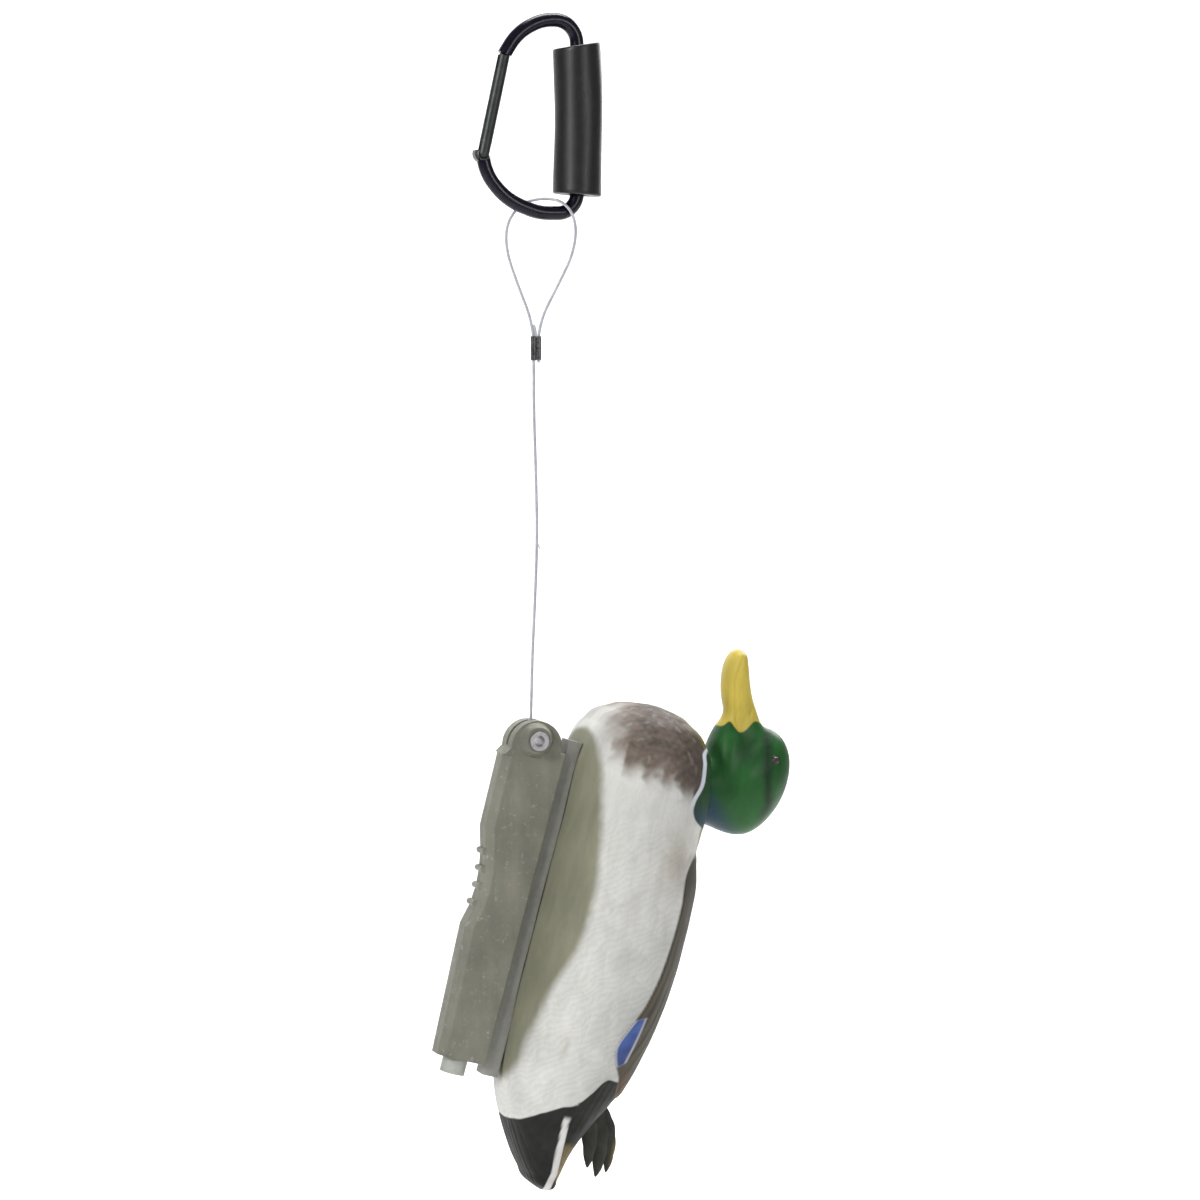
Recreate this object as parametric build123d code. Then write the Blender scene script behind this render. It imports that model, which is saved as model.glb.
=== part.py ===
from build123d import *
import math
import os

# Hanging mallard drake decoy with a weighted keel, on a line and a large carabiner.
# The frame: +Z up, +X towards the decoy's back, y = 0 is the decoy's plane of symmetry.
# The origin is the point inside the carabiner's top bow where it bears on whatever holds it.

# ---- carabiner ----
ROD_R = 5.25
SPINE_X = 19.5
BOW_BOTTOM_Z = -137.0
NOSE = (-36.8, -21.0)
GATE_PIVOT = (-52.9, -93.75)
GATE_R = 4.5
PIN_R = 1.3
TONGUE_T = 3.4
FORK_T = 4.2
SLEEVE_R = 18.0
SLEEVE_BORE_R = 6.6
SLEEVE_TOP_Z = -10.5
SLEEVE_LENGTH = 114.5

# ---- line ----
LINE_R = 1.1
CRIMP_X = -12.5
CRIMP_TOP_Z = -228.0
CRIMP_LENGTH = 18.0
BARREL_R = 2.2
BARREL_OFFSET = 1.75

# ---- decoy, in its own swimming frame: x is distance behind the eyelet, z is height above it ----
EYELET = (-16.8, 0, -528.0)
TILT = 15.27
EYELET_BORE_R = 4.0
EYELET_R = 5.2
FLANGE_R = 7.2
KEEL_HALF_WIDTH = 13.0
KEEL_END_X = 244.5
KEEL_TOP_Z = 25.4
KEEL_WALL = 2.2
CHAMFER = 5.5
NOSE_R = 19.5
BOSS_R = 13.7
BOSS_FACE_Y = 21.5
SLOT_WIDTH = 5.0
PLUG_R = 9.5
PLUG_Z = 5.5
BALLAST_X = 129.5
BALLAST_Z = 2.4
BALLAST_LENGTH = 196.0
BALLAST_HEIGHT = 22.0
RAIL_X = 128.0
RAIL_HEAD_LENGTH = 230.0
RAIL_END_X = 252.0
SCREW_X = (40, 105, 170, 235)
SHELL_WALL = 1.7
HEAD_WALL = 1.8
NECK_X = 4.0
NECK_SEAT_Z = 141.0
SPIGOT_R = 19.0


def decoy_place():
    """Turns the decoy from its swimming frame to the way it hangs, nose up."""
    t = math.radians(TILT)
    rear = (-math.sin(t), 0, -math.cos(t))
    back = (math.cos(t), 0, -math.sin(t))
    return Plane(origin=EYELET, x_dir=rear, z_dir=back).location


def rod_y(radius, centre, half_length):
    """A cylinder along Y about centre (x, z)."""
    plane = Plane(origin=(centre[0], -half_length, centre[1]), x_dir=(1, 0, 0), z_dir=(0, 1, 0))
    return extrude(plane * Circle(radius), 2 * half_length)


def plate_y(outline, half_width):
    """A plate through y = 0 whose outline is given as (x, z) points."""
    face = make_face(Polyline(*[(x, -half_width, z) for x, z in outline], close=True))
    return extrude(face, 2 * half_width, dir=(0, 1, 0))


# ---------------------------------------------------------------- carabiner
def carabiner_body():
    corners = [
        (-53.2, -92.0), (-52.1, -107.2), (-34.3, -128.1), (-10.3, BOW_BOTTOM_Z),
        (SPINE_X, BOW_BOTTOM_Z), (SPINE_X, ROD_R), (-7.2, ROD_R), (-26.6, -4.5), NOSE,
    ]
    radii = [38, 48, 44, 15, 17, 34, 40]
    path = FilletPolyline(*[(x, 0, z) for x, z in corners], radius=radii)
    body = sweep(Plane(origin=path @ 0, z_dir=path % 0) * Circle(ROD_R), path=path)
    px, pz = GATE_PIVOT
    body -= rod_y(5.3, GATE_PIVOT, 10) + Pos(px, 0, pz + 6) * Box(12, 20, 12)
    tongue = rod_y(3.9, GATE_PIVOT, TONGUE_T / 2)
    root = [(px - 3.9, pz), (px + 3.9, pz), (px + 4.1, pz - 9), (px - 3.2, pz - 9)]
    tongue += plate_y(root, TONGUE_T / 2)
    stop = rod_y(7.4, GATE_PIVOT, 3.8) - rod_y(5.4, GATE_PIVOT, 5)
    stop &= Pos(px - 7.2, 0, pz - 2.5) * Box(5.6, 10, 10)
    length = gate_frame()[2]
    gap = [gate_point(a, b) for a, b in ((length - 12, -8), (length - 12, 8), (length, 8), (length, -8))]
    body -= plate_y(gap, 8)
    body += tongue + stop
    body += nose_hook()
    return body - rod_y(PIN_R, GATE_PIVOT, 6)


def gate_frame():
    """Unit vectors along the gate, from its pivot to the nose, and across it, inwards."""
    dx, dz = NOSE[0] - GATE_PIVOT[0], NOSE[1] - GATE_PIVOT[1]
    length = math.hypot(dx, dz)
    return (dx / length, dz / length), (dz / length, -dx / length), length


def gate_point(along, across):
    """A point (x, z) given by its distances along the gate and across it."""
    u, n, _ = gate_frame()
    x = GATE_PIVOT[0] + along * u[0] + across * n[0]
    z = GATE_PIVOT[1] + along * u[1] + across * n[1]
    return x, z


def nose_hook():
    """The flat tongue under the nose, notched on its inner side for the gate's latch pin."""
    length = gate_frame()[2]
    outline = [
        (length + 1, -3.2), (length + 1, 4.0), (length - 4.4, 4.0), (length - 4.4, -1.6),
        (length - 8.4, -1.6), (length - 8.4, 4.0), (length - 10.6, 3.2), (length - 10.6, -3.2),
    ]
    return plate_y([gate_point(a, b) for a, b in outline], TONGUE_T / 2)


def gate_arm():
    u, _, length = gate_frame()
    start = Plane(origin=(GATE_PIVOT[0], 0, GATE_PIVOT[1]), z_dir=(u[0], 0, u[1]))
    arm = extrude(start * Circle(GATE_R), length - 0.7)
    arm += Pos(GATE_PIVOT[0], 0, GATE_PIVOT[1]) * Sphere(GATE_R)
    half = FORK_T / 2
    for low, high in ((-7, 6.5), (length - 11.6, length + 2)):
        fork = [gate_point(a, b) for a, b in ((low, -7), (low, 7), (high, 7), (high, -7))]
        arm -= plate_y(fork, half)
    arm -= extrude(start.offset(6.0) * Circle(2.6), 32)
    arm -= rod_y(PIN_R, GATE_PIVOT, 6)
    return arm - rod_y(PIN_R, gate_point(length - 6.4, 0), 6)


def gate_plunger():
    """Bears on the tongue under the gate's spring."""
    u = gate_frame()[0]
    foot = gate_point(5.1, 0)
    plane = Plane(origin=(foot[0], 0, foot[1]), z_dir=(u[0], 0, u[1]))
    return extrude(plane * Circle(1.9), 7) + extrude(plane.offset(6) * Circle(2.45), 2)


def gate_spring():
    """The coil behind the plunger, as the sleeve of space that its turns fill."""
    u = gate_frame()[0]
    foot = gate_point(13.3, 0)
    plane = Plane(origin=(foot[0], 0, foot[1]), z_dir=(u[0], 0, u[1]))
    return extrude(plane * (Circle(2.4) - Circle(1.7)), 24.4)


def gate_pin():
    return rod_y(PIN_R, GATE_PIVOT, 4.2)


def latch_pin():
    return rod_y(PIN_R, gate_point(gate_frame()[2] - 6.4, 0), 4.0)


def grip_sleeve():
    base = Plane(origin=(SPINE_X, 0, SLEEVE_TOP_Z - SLEEVE_LENGTH))
    return extrude(base * (Circle(SLEEVE_R) - Circle(SLEEVE_BORE_R)), SLEEVE_LENGTH)


# ---------------------------------------------------------------- line
LINE_POINTS = [
    (-16.8, 0, -514), (-15.9, 0, -470), (-13.2, 0, -420), (-11.6, 0, -372), (-12.9, 0, -322),
    (-14.1, 0, -285), (-14.3, 0, -253), (-14.2, 0, -220), (-26.5, 1.5, -189), (-34.5, 4, -164),
    (-32.5, 8.5, -144), (-21, 9.5, -129.5), (-6, 1, -125.5), (8, -8, -129), (16.5, -9, -144),
    (15.5, -5, -166), (4.5, -1.5, -190), (-10.7, 0, -219), (-10.75, 0, -236),
]


def tube_radii(points):
    """The largest arc that each corner's two runs leave room for."""
    p = [Vector(*q) for q in points]
    radii = []
    for a, b, c in zip(p, p[1:], p[2:]):
        half_turn = math.radians((b - a).get_angle(c - b)) / 2
        radii.append(0.45 * min((b - a).length, (c - b).length) / math.tan(half_turn))
    return radii


def decoy_line():
    """From the eyelet up to the crimp, round the carabiner's bottom bow and back into the crimp."""
    path = FilletPolyline(*LINE_POINTS, radius=tube_radii(LINE_POINTS))
    return sweep(Plane(origin=path @ 0, z_dir=path % 0) * Circle(LINE_R), path=path)


def crimp_sleeve():
    base = Plane(origin=(CRIMP_X, 0, CRIMP_TOP_Z - CRIMP_LENGTH))
    barrels = Pos(-BARREL_OFFSET, 0) * Circle(BARREL_R) + Pos(BARREL_OFFSET, 0) * Circle(BARREL_R)
    barrels += Rectangle(2 * BARREL_OFFSET, 2.6)
    bores = Pos(-BARREL_OFFSET, 0) * Circle(LINE_R) + Pos(BARREL_OFFSET, 0) * Circle(LINE_R)
    return extrude(base * (barrels - bores), CRIMP_LENGTH)


def line_eye():
    """The ring swaged round the eyelet's tube, with the short barrel that holds the line's end."""
    x, _, z = EYELET
    ring = rod_y(7.6, (x, z), 1.6) - rod_y(5.5, (x, z), 3)
    barrel = Pos(x, 0, z + 10.6) * Cylinder(1.9, 6.8)
    return ring + barrel


# ---------------------------------------------------------------- keel
KEEL_PROFILE = [
    (4.9, KEEL_TOP_Z), (KEEL_END_X, KEEL_TOP_Z), (KEEL_END_X, -11.5), (196, -13.5), (146, -15.5),
    (131, -11.8), (117, -10.8), (103, -11.8), (89, -14.6), (72, -19.6), (16, -20.6), (10, -17.0),
]
RIB_X = (90, 103, 116, 129)
RIB_Z = (-14.2, -12.0, -10.9, -11.6)


def keel_solid():
    """The keel's outer form: side faces, chamfered belly, finger ribs and round nose."""
    w = KEEL_HALF_WIDTH
    block = plate_y(KEEL_PROFILE, w)
    block += rod_y(NOSE_R, (4.9, 2.2), w)
    for side in (-1, 1):
        belly = KEEL_PROFILE[2:-1][::-1]
        for a, b in zip(belly, belly[1:]):
            block -= loft([chamfer_cut(a, side), chamfer_cut(b, side)], ruled=True)
    for x, z in zip(RIB_X, RIB_Z):
        block += rod_y(2.4, (x, z - 0.6), w - 5)
    for side in (-1, 1):
        boss_plane = Plane(origin=(0, side * (w - 1), 0), x_dir=(1, 0, 0), z_dir=(0, side, 0))
        block += extrude(boss_plane * Circle(BOSS_R), BOSS_FACE_Y - w, taper=24)
    return block


def chamfer_cut(corner, side):
    """What the chamfer takes off the belly's edge at one place along the keel."""
    x, z = corner
    inner = side * (KEEL_HALF_WIDTH - CHAMFER)
    outer = side * (KEEL_HALF_WIDTH + 5)
    corners = [(x, inner, z), (x, outer, z + CHAMFER + 5), (x, outer, z - 5), (x, inner, z - 5)]
    return make_face(Polyline(*corners, close=True))


def ballast_form(grow):
    """The bar in the keel, chamfered along its lower edges, made larger all round by grow."""
    half = KEEL_HALF_WIDTH - KEEL_WALL - 0.2 + grow
    low = BALLAST_Z - BALLAST_HEIGHT / 2 - grow
    high = BALLAST_Z + BALLAST_HEIGHT / 2 + grow
    start = BALLAST_X - BALLAST_LENGTH / 2 - 5 * grow
    outline = [
        (-half, high), (half, high), (half, low + CHAMFER), (half - CHAMFER, low),
        (CHAMFER - half, low), (-half, low + CHAMFER),
    ]
    face = make_face(Polyline(*[(start, y, z) for y, z in outline], close=True))
    return extrude(face, BALLAST_LENGTH + 10 * grow, dir=(1, 0, 0))


def keel_half(side):
    """One moulded half, with the room for the ballast, the rail's head, the plug and the line."""
    half = keel_solid() & Pos(120, side * 25, 0) * Box(400, 50, 120)
    half -= ballast_form(0.2)
    half -= Pos(RAIL_X, 0, 19.4) * Box(RAIL_HEAD_LENGTH + 10, 17.0, 5.0)
    half -= Pos(RAIL_X, 0, 24) * Box(RAIL_HEAD_LENGTH + 10, 8.6, 8)
    half -= Pos(240, 0, PLUG_Z) * Rot(0, 90, 0) * Cylinder(PLUG_R + 0.05, 30)
    half -= rod_y(8.9, (0, 0), SLOT_WIDTH / 2) + Pos(-16, 0, 0) * Box(32, SLOT_WIDTH, 60)
    half -= Pos(0.5, 0, -14) * Box(16, SLOT_WIDTH, 28) + Pos(0.5, 0, 16) * Box(16, SLOT_WIDTH, 28)
    return half - rod_y(EYELET_R, (0, 0), 30)


def nose_eyelet():
    """Tubular rivet through both cheeks of the nose; its bore takes an anchor line or a clip."""
    tube = rod_y(EYELET_R, (0, 0), BOSS_FACE_Y)
    for side in (-1, 1):
        tube += Pos(0, side * (BOSS_FACE_Y + 0.75), 0) * Rot(90, 0, 0) * Cylinder(FLANGE_R, 1.5)
    return tube - rod_y(EYELET_BORE_R, (0, 0), 40)


def keel_ballast():
    return ballast_form(0)


def ballast_plug():
    """Closes the keel's rear end; hollow at its outer end, with a groove for the seal."""
    along = Rot(0, 90, 0)
    shank = Pos(KEEL_END_X - 5, 0, PLUG_Z) * along * Cylinder(PLUG_R - 1.2, 10)
    head = Pos(KEEL_END_X + 6, 0, PLUG_Z) * along * Cylinder(PLUG_R, 12)
    bore = Pos(KEEL_END_X + 9.5, 0, PLUG_Z) * along * Cylinder(PLUG_R - 2.5, 5.2)
    groove = Cylinder(PLUG_R, 2.4) - Cylinder(PLUG_R - 2.6, 4)
    return shank + head - bore - Pos(KEEL_END_X - 5, 0, PLUG_Z) * along * groove


def plug_seal():
    return Pos(KEEL_END_X - 5, 0, PLUG_Z) * Rot(0, 90, 0) * Torus(PLUG_R - 1.55, 1.0)


def keel_rail():
    """T rail under the body; the keel's slotted top slides on its head."""
    head = Pos(RAIL_X, 0, 19.4) * Box(RAIL_HEAD_LENGTH, 16.2, 4.2)
    neck = Pos(RAIL_X, 0, 24.2) * Box(RAIL_HEAD_LENGTH, 7.8, 6.0)
    foot = Pos(RAIL_END_X - 129, 0, 32.5) * Box(258, 17, 12)
    rail = head + neck + (foot - hull(0))
    for x in SCREW_X:
        rail -= Pos(x, 0, 27) * Cylinder(2.1, 40)
        rail -= Pos(x, 0, 19) * Cylinder(3.6, 5.2)
    return rail


def rail_screws():
    screws = []
    for x in SCREW_X:
        screws.append(Pos(x, 0, 32.5) * Cylinder(1.85, 24) + Pos(x, 0, 20.3) * Cylinder(3.4, 2.4))
    return Compound(children=screws)


# ---------------------------------------------------------------- body
# x, belly z, back z, half width, z of the widest line
HULL = [
    (-45, 70, 104, 18, 88), (-38, 55, 118, 38, 86), (-24, 43, 133, 56, 84), (0, 37, 140, 69, 82),
    (40, 37, 143, 80, 83), (90, 37, 147.5, 84, 86), (150, 37, 147.5, 81, 88), (205, 38, 141, 68, 91),
    (245, 42, 131, 51, 93), (270, 49, 119, 39, 92), (295, 63, 109, 28, 92), (315, 79, 104, 20, 95),
    (325, 88, 101, 14, 96),
]
SECTION_POINTS = 16


def hull_face(x, low, high, half_width, widest):
    """One section across the body: flatter under the widest line, rounder over it."""
    points = []
    for i in range(SECTION_POINTS):
        a = 2 * math.pi * (i + 0.5) / SECTION_POINTS - math.pi / 2
        c, s = math.cos(a), math.sin(a)
        power = 2 / 2.25 if s > 0 else 2 / 3.0
        reach = high - widest if s > 0 else widest - low
        y = half_width * math.copysign(abs(c) ** power, c)
        points.append((x, y, widest + reach * math.copysign(abs(s) ** power, s)))
    return make_face(Spline(*points, periodic=True))


def hull(inset):
    """The body's smooth form, or the same made smaller all round and stopped short of both ends."""
    rows = HULL if inset == 0 else HULL[1:-2]
    return loft([hull_face(x, lo + inset, hi - inset, w - inset, m) for x, lo, hi, w, m in rows])


def body_shell():
    """Hollow moulded body with the neck's flat seat and round hole, and bosses for the rail's screws."""
    outer = hull(0) + Pos(NECK_X, 0, NECK_SEAT_Z - 9) * Cylinder(28, 18)
    cavity = hull(SHELL_WALL) - Pos(NECK_X, 0, NECK_SEAT_Z - 10) * Cylinder(26, 24)
    for x in SCREW_X:
        cavity -= Pos(x, 0, 42) * Cylinder(5, 14)
    shell = outer - cavity
    shell -= Pos(NECK_X, 0, NECK_SEAT_Z - 12) * Cylinder(23, 40)
    shell -= Pos(NECK_X, 0, NECK_SEAT_Z + 10) * Cylinder(29, 20)
    for x in SCREW_X:
        shell -= Pos(x, 0, 38) * Cylinder(1.9, 14)
    return shell


def neck_bushing():
    return Pos(NECK_X, 0, NECK_SEAT_Z - 10.5) * (Cylinder(22.9, 20) - Cylinder(SPIGOT_R + 0.08, 22))


def neck_clip():
    """Split ring in the spigot's groove, under the bushing."""
    ring = Pos(NECK_X, 0, NECK_SEAT_Z - 22.4) * (Cylinder(21.6, 1.8) - Cylinder(SPIGOT_R - 1.2, 4))
    return ring - Pos(NECK_X + 20, 0, NECK_SEAT_Z - 22.4) * Box(8, 5, 4)


# z, centre x, half length, half width
HEAD = [
    (141.4, 4, 27, 26), (152, 2, 30, 27), (166, -5, 39, 28.5), (180, -9, 43, 28.5),
    (192, -12, 37, 24), (200, -14, 27, 17.5), (205.5, -16, 13, 9),
]
# x, low z, high z, half width
BILL = [
    (-36, 150, 180, 15), (-52, 145, 177, 14), (-66, 138.5, 164, 13.5), (-80, 135.5, 157, 14),
    (-94, 135.5, 151, 13), (-103, 139, 147.5, 8),
]
# the middle of the left eye's face, in the swimming frame with y turned outwards
EYE = (-29.5, 23.5, 185.5)
# the tail curl's outline as (x, z)
CURL = [
    (256, 122), (262, 138), (274, 146), (290, 149.5), (303, 147.5), (309, 140),
    (305, 134), (309, 131), (303, 125), (290, 128), (277, 121), (270, 112),
]
CURL_WIDTH = 16.0


def head_form(inset):
    rows = HEAD if inset == 0 else HEAD[:-1]
    faces = [Pos(x, 0, z) * make_face(Ellipse(a - inset, b - inset).edges()) for z, x, a, b in rows]
    return loft(faces)


def bill_form():
    faces = []
    for x, low, high, half in BILL:
        plane = Plane(origin=(x, 0, (low + high) / 2), x_dir=(0, 1, 0), z_dir=(-1, 0, 0))
        faces.append(plane * make_face(Ellipse(half, (high - low) / 2).edges()))
    return loft(faces)


def head_shell():
    """Hollow head and bill with the spigot that turns in the body's neck."""
    spigot = Pos(NECK_X, 0, NECK_SEAT_Z - 11.5) * Cylinder(SPIGOT_R, 27)
    groove = Cylinder(SPIGOT_R + 1, 2.2) - Cylinder(SPIGOT_R - 1.4, 4)
    head = head_form(0) + bill_form() + spigot - Pos(NECK_X, 0, NECK_SEAT_Z - 22.4) * groove
    head -= head_form(HEAD_WALL) & Pos(0, 0, NECK_SEAT_Z + 54) * Box(200, 100, 100)
    head -= Pos(NECK_X, 0, NECK_SEAT_Z - 11.5) * Cylinder(SPIGOT_R - 3.4, 60)
    for side in (-1, 1):
        head -= eye_seat(side, 4.1, 6)
    return head


def eye_seat(side, radius, depth):
    x, y, z = EYE
    plane = Plane(origin=(x, side * y, z), x_dir=(1, 0, 0), z_dir=(-0.35, side, 0.28))
    return extrude(plane.offset(-2.5) * Circle(radius), depth)


def eye(side):
    x, y, z = EYE
    plane = Plane(origin=(x, side * y, z), x_dir=(1, 0, 0), z_dir=(-0.35, side, 0.28))
    return extrude(plane.offset(-2.4) * Circle(4.0), 4.2)


def tail_curl():
    """The curled feathers over the tail, as one soft moulding that sits on the body."""
    return plate_y(CURL, CURL_WIDTH / 2) - hull(0)


os.makedirs("parts", exist_ok=True)
PLACE = decoy_place()
HELD = {
    "carabiner_body": carabiner_body(),
    "gate_arm": gate_arm(),
    "gate_plunger": gate_plunger(),
    "gate_spring": gate_spring(),
    "gate_pin": gate_pin(),
    "latch_pin": latch_pin(),
    "grip_sleeve": grip_sleeve(),
    "decoy_line": decoy_line(),
    "crimp_sleeve": crimp_sleeve(),
    "line_eye": line_eye(),
}
DECOY = {
    "keel_shell_left": keel_half(-1),
    "keel_shell_right": keel_half(1),
    "nose_eyelet": nose_eyelet(),
    "keel_ballast": keel_ballast(),
    "ballast_plug": ballast_plug(),
    "plug_seal": plug_seal(),
    "keel_rail": keel_rail(),
    "rail_screws": rail_screws(),
    "body_shell": body_shell(),
    "neck_bushing": neck_bushing(),
    "neck_clip": neck_clip(),
    "head_shell": head_shell(),
    "eye_left": eye(-1),
    "eye_right": eye(1),
    "tail_curl": tail_curl(),
}
for name, solid in HELD.items():
    export_step(solid, f"parts/{name}.step")
for name, solid in DECOY.items():
    export_step(PLACE * solid, f"parts/{name}.step")
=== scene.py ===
import bpy
import bmesh
import math
import numpy as np
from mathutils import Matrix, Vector


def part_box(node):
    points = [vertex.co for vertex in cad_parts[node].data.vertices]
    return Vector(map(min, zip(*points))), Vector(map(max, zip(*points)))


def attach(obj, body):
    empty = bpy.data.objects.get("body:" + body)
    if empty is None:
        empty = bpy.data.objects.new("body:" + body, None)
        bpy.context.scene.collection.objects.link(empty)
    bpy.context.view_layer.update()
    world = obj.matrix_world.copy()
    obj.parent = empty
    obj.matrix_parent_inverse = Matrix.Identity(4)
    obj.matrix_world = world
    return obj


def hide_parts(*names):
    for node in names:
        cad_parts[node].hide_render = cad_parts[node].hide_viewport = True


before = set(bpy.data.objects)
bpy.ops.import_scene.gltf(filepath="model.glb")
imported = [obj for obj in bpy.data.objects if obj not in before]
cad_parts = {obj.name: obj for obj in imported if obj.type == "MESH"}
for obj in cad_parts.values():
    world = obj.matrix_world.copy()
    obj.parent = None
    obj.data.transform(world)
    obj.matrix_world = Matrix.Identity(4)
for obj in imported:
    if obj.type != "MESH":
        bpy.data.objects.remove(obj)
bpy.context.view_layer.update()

# The decoy's own swimming frame, as in the CAD: x behind the eyelet, y across, z above it, in millimetres.
EYELET = np.array([-0.0168, 0.0, -0.528])
TILT = math.radians(15.27)
REAR = np.array([-math.sin(TILT), 0.0, -math.cos(TILT)])
ACROSS = np.array([0.0, 1.0, 0.0])
BACK = np.array([math.cos(TILT), 0.0, -math.sin(TILT)])
VIEW_SIDE = math.radians(18)


def hung(p):
    """Points of the swimming frame, in millimetres, where they hang, in metres."""
    p = np.asarray(p, float).reshape(-1, 3) / 1000
    return EYELET + p[:, :1] * REAR + p[:, 1:2] * ACROSS + p[:, 2:] * BACK


def side_height(p):
    """How high a point looks above the eyelet from the side, a little from below, on either side."""
    return p[:, 2] * math.cos(VIEW_SIDE) + np.abs(p[:, 1]) * math.sin(VIEW_SIDE)


def smooth(a, b, x):
    """Rises from 0 at a to 1 at b."""
    t = np.clip((x - a) / (b - a), 0, 1)
    return t * t * (3 - 2 * t)


def wobble(p, scale, seed=0):
    """Smooth, repeatable unevenness between about -1 and 1."""
    q = p / scale + seed * 3.7
    first = np.sin(q[:, 0] + 1.3 * np.sin(q[:, 1] * 1.7))
    second = np.sin(q[:, 1] * 1.3 + 1.1 * np.sin(q[:, 2] * 1.9))
    third = np.sin(q[:, 2] * 1.1 + 1.7 * np.sin(q[:, 0] * 1.4))
    return (first + second + third) / 3


# ---------------------------------------------------------------- camera, light and floor
def look_at(obj, target):
    """Turns a camera or lamp towards a point."""
    obj.rotation_euler = (Vector(target) - obj.location).to_track_quat("-Z", "Y").to_euler()


CAMERA_RISE = math.radians(4)
CAMERA_DISTANCE = 2.9
CAMERA_TARGET = Vector((0.0375, 0, -0.4255))
VIEW_WIDTH = 0.9
SENSOR_MM = 36


def camera():
    """Looks at the decoy's side from a little towards its belly and above."""
    data = bpy.data.cameras.new("camera")
    cam = bpy.data.objects.new("camera", data)
    bpy.context.collection.objects.link(cam)
    level = math.cos(CAMERA_RISE)
    out = Vector((-math.sin(VIEW_SIDE) * level, -math.cos(VIEW_SIDE) * level, math.sin(CAMERA_RISE)))
    cam.location = CAMERA_TARGET + CAMERA_DISTANCE * out
    look_at(cam, CAMERA_TARGET)
    data.sensor_width = SENSOR_MM
    data.lens = SENSOR_MM * CAMERA_DISTANCE / VIEW_WIDTH
    bpy.context.scene.camera = cam


def area_light(name, place, target, size, power):
    """A round soft lamp, its size in metres and its power in watts."""
    data = bpy.data.lights.new(name, "AREA")
    data.shape = "DISK"
    data.size = size
    data.energy = power
    lamp = bpy.data.objects.new(name, data)
    bpy.context.collection.objects.link(lamp)
    lamp.location = place
    look_at(lamp, target)


def studio():
    """Even white world light, a key lamp on the left, a fill, a rim lamp and one on the backdrop."""
    world = bpy.data.worlds.new("studio")
    world.use_nodes = True
    world.node_tree.nodes["Background"].inputs[0].default_value = (1, 1, 1, 1)
    world.node_tree.nodes["Background"].inputs[1].default_value = 0.24
    bpy.context.scene.world = world
    bpy.context.scene.view_settings.view_transform = "Standard"
    middle = (0.03, 0, -0.5)
    area_light("key", (-2.2, -1.5, 0.7), middle, 0.7, 46)
    area_light("fill", (1.0, -2.2, 0.2), middle, 1.0, 13)
    area_light("rim", (1.3, 1.2, 0.4), middle, 0.9, 12)
    area_light("backdrop", (0.6, 0.9, 2.6), (0.5, 3.2, 0.0), 2.5, 215)
    sweep()


def sweep():
    """Pale paper that runs from the floor up behind the decoy in one curve."""
    width, floor_z, wall_y, bend = 9.0, -1.1, 4.0, 1.6
    line = [(-9.0, floor_z), (wall_y - bend, floor_z)]
    for i in range(1, 24):
        a = math.pi / 2 * i / 24
        line.append((wall_y - bend + bend * math.sin(a), floor_z + bend - bend * math.cos(a)))
    line += [(wall_y, floor_z + bend), (wall_y, 9.0)]
    verts = [(x, y, z) for y, z in line for x in (-width, width)]
    faces = [(2 * i, 2 * i + 1, 2 * i + 3, 2 * i + 2) for i in range(len(line) - 1)]
    mesh = bpy.data.meshes.new("paper_sweep")
    mesh.from_pydata(verts, [], faces)
    mesh.polygons.foreach_set("use_smooth", [True] * len(faces))
    paper = bpy.data.objects.new("paper_sweep", mesh)
    bpy.context.collection.objects.link(paper)
    surface = Surface("paper", 0.9)
    grain = surface.noise(3.0, 3.0)
    surface.colour(surface.ramp(grain, [(0.3, (0.90, 0.90, 0.90)), (0.7, (0.93, 0.93, 0.93))]))
    surface.bump(surface.noise(60, 3.0), 0.0004)
    mesh.materials.append(surface.mat)


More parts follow.
